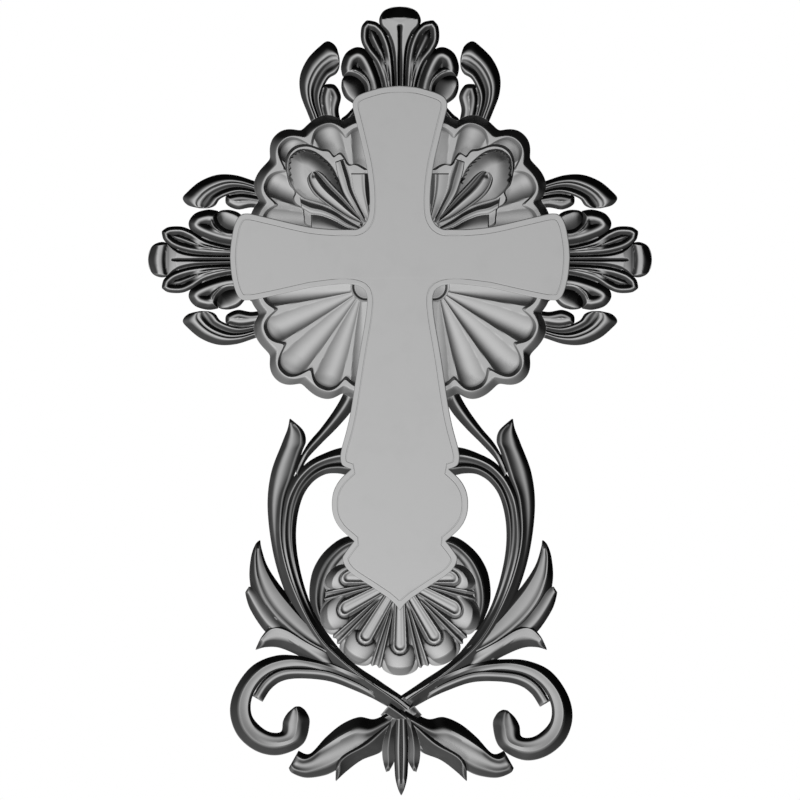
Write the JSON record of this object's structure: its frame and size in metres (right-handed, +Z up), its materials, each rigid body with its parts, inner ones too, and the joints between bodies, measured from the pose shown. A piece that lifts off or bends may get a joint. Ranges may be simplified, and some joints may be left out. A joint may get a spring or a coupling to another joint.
{
  "type": "ornamental iron wall cross",
  "caption": "Flat cross with flared arms on a relief of scallop shells, leaf crests, crossed stems with scrolls, a small shell and a drop.",
  "frame": {"origin": "mouth of the upper fixing hole, in the back plane that lies on the wall, behind the crossing of the arms", "axes": "+Z up along the shaft, +X to the right across the arms as seen from the front, +Y into the wall; the front faces -Y"},
  "size_m": [0.5038, 0.036, 0.7886],
  "materials": {
    "cross_iron": "smooth grey, satin",
    "ornament_iron": "dark grey, satin, brighter on the worn ridges"
  },
  "bodies": {
    "root": {"cross_plate": "cross_iron", "shell_upper_left": "ornament_iron", "shell_upper_right": "ornament_iron", "shell_lower_left": "ornament_iron", "shell_lower_right": "ornament_iron", "palmette_left": "ornament_iron", "palmette_right": "ornament_iron", "crest_top": "ornament_iron", "crest_left": "ornament_iron", "crest_right": "ornament_iron", "curled_leaf_top_left": "ornament_iron", "curled_leaf_top_right": "ornament_iron", "curled_leaf_left_upper": "ornament_iron", "curled_leaf_left_lower": "ornament_iron", "curled_leaf_right_upper": "ornament_iron", "curled_leaf_right_lower": "ornament_iron", "stem_left": "ornament_iron", "stem_right": "ornament_iron", "small_shell": "ornament_iron", "crescent_left": "ornament_iron", "crescent_right": "ornament_iron", "drop": "ornament_iron"}
  },
  "joints": []
}
